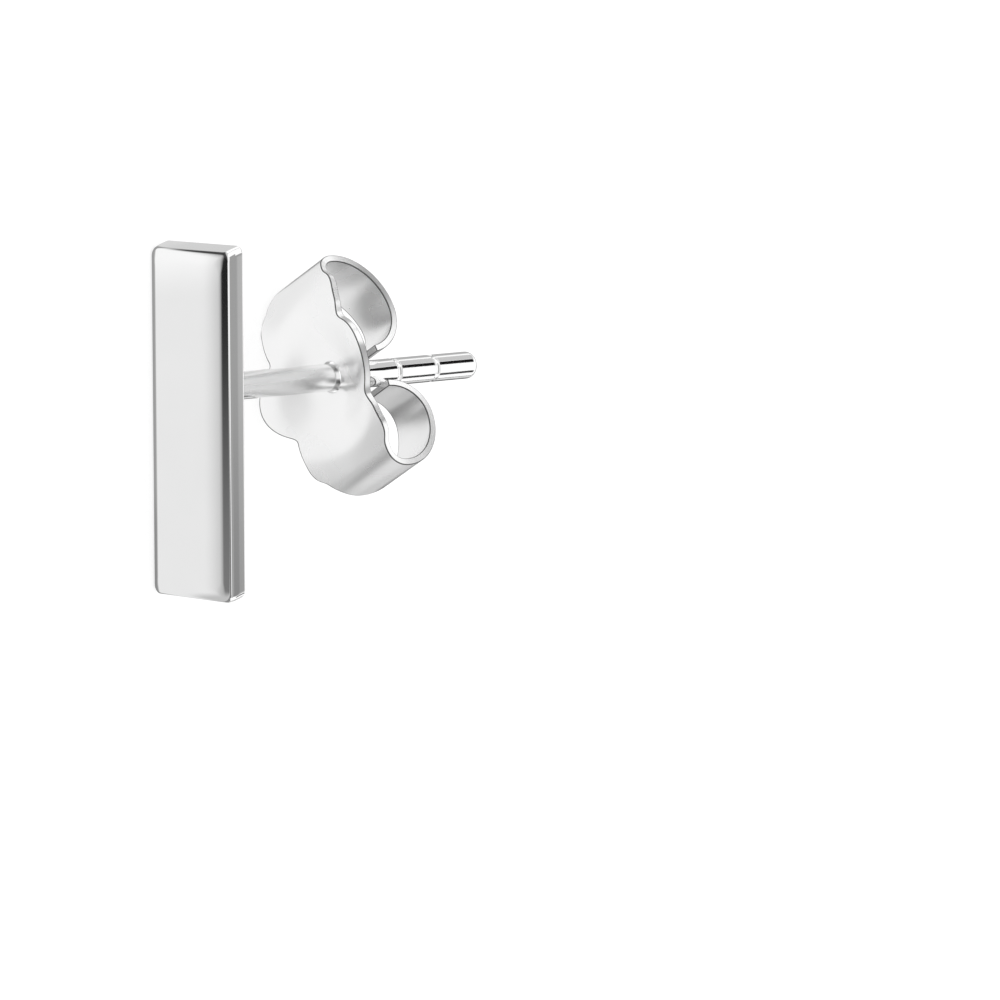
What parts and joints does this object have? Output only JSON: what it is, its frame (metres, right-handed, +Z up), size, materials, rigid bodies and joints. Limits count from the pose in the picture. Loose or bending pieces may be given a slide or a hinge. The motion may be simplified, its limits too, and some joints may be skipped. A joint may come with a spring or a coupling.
{
  "type": "bar earring",
  "caption": "Flat polished bar stud earring lying with its butterfly friction back on the post, which is grooved near its tip.",
  "frame": {"origin": "on the table, under the middle of the box around the lying earring", "axes": "+Z up from the table; +X along the bar, towards the end farther from the post; +Y across the bar, from its face towards the post's tip"},
  "size_m": [0.01, 0.0112, 0.0054],
  "materials": {
    "bar_silver": "mirror-polished sterling silver",
    "clutch_silver": "tumble-polished sterling silver sheet"
  },
  "bodies": {
    "stud": {"stud": "bar_silver"},
    "clutch": {"butterfly_clutch": "clutch_silver"}
  },
  "joints": [
    {"name": "clutch_slide", "type": "slide", "parent": "stud", "child": "clutch", "axis": [0, 0.9814, 0.1922], "range_m": [-0.0037, 0.0065]}
  ]
}
